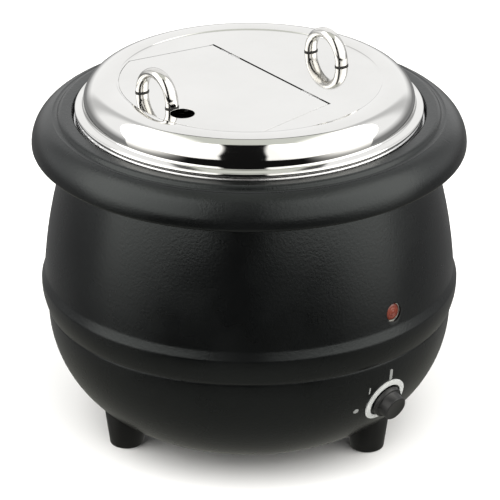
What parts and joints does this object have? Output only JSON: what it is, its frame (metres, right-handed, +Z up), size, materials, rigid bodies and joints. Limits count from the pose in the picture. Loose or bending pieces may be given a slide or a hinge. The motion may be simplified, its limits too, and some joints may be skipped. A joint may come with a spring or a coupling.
{
  "type": "soup kettle",
  "caption": "Round electric soup kettle: bellied black casing on feet, lift-out steel pot, mirror lid with a hinged flap and bow handles, thermostat knob and lamp.",
  "frame": {"origin": "on the floor, under the centre of the round casing", "axes": "+Z up; -Y is the control side with the knob and lamp; +Y is the cable inlet"},
  "size_m": [0.3662, 0.3662, 0.3391],
  "materials": {
    "black_coat": "satin textured powder coat",
    "mirror_steel": "mirror polished stainless steel",
    "satin_steel": "satin stainless steel",
    "zinc": "bright zinc plated steel",
    "black_plastic": "matt moulded plastic",
    "knob_black": "fine textured moulded plastic",
    "ring_silver": "satin anodised",
    "pale_print": "screen printed",
    "red_lens": "translucent",
    "black_rubber": "matt",
    "pale_moulding": "moulded",
    "brass": "plain",
    "copper": "plain drawn copper",
    "cast_alloy": "as cast",
    "mineral_wool": "fibrous",
    "lead_brown": "silicone insulation",
    "lead_white": "glass sleeved"
  },
  "bodies": {
    "kettle": {"lower_bowl": "black_coat", "upper_shell": "black_coat", "collar_ring": "black_coat", "base_plate": "black_coat", "base_screws": "zinc", "foot_front": "black_plastic", "foot_right": "black_plastic", "foot_left": "black_plastic", "foot_screws": "zinc", "foot_nuts": "zinc", "inner_well": "satin_steel", "insulation_wrap": "mineral_wool", "heat_spreader": "cast_alloy", "heater_tube": "satin_steel", "heater_terminals": "zinc", "heater_clamp": "zinc", "heater_stud": "zinc", "heater_nut": "zinc", "thermal_cutout": "cast_alloy", "cutout_tabs": "brass", "dial_ring": "ring_silver", "dial_marks": "pale_print", "thermostat_body": "pale_moulding", "thermostat_screws": "zinc", "thermostat_terminals": "brass", "thermostat_bulb": "copper", "bulb_clips": "satin_steel", "capillary_tube": "copper", "lamp_lens": "red_lens", "lamp_body": "pale_moulding", "lamp_tabs": "brass", "cable_gland": "black_plastic", "gland_cap": "black_plastic", "gland_nut": "black_plastic", "terminal_block": "pale_moulding", "terminal_screws": "brass", "earth_stud": "brass", "supply_leads": "lead_brown", "control_leads": "lead_brown", "heater_leads": "lead_white"},
    "pot": {"soup_pot": "satin_steel"},
    "lid": {"lid_shell": "mirror_steel", "lid_hinge_leaves": "satin_steel", "hinge_pins": "satin_steel", "lid_handle": "mirror_steel", "lid_handle_washers": "black_rubber", "lid_handle_screws": "zinc"},
    "flap": {"flap_plate": "mirror_steel", "flap_hinge_leaves": "satin_steel", "flap_handle": "mirror_steel", "flap_handle_washers": "black_rubber", "flap_handle_screws": "zinc"},
    "knob": {"knob": "knob_black", "spindle": "zinc"}
  },
  "joints": [
    {"name": "pot_lift", "type": "slide", "parent": "kettle", "child": "pot", "axis": [0, 0, 1], "range_m": [0, 0.2]},
    {"name": "lid_lift", "type": "slide", "parent": "pot", "child": "lid", "axis": [0, 0, 1], "range_m": [0, 0.12]},
    {"name": "flap_hinge", "type": "hinge", "parent": "lid", "child": "flap", "pos_m": [0.02126, -0.00242, 0.3108], "axis": [0.1132, 0.9936, 0], "range_deg": [0, 100]},
    {"name": "knob_turn", "type": "hinge", "parent": "kettle", "child": "knob", "pos_m": [0, -0.16459, 0.073], "axis": [0, 0.9563, 0.2924], "range_deg": [0, 270]}
  ]
}
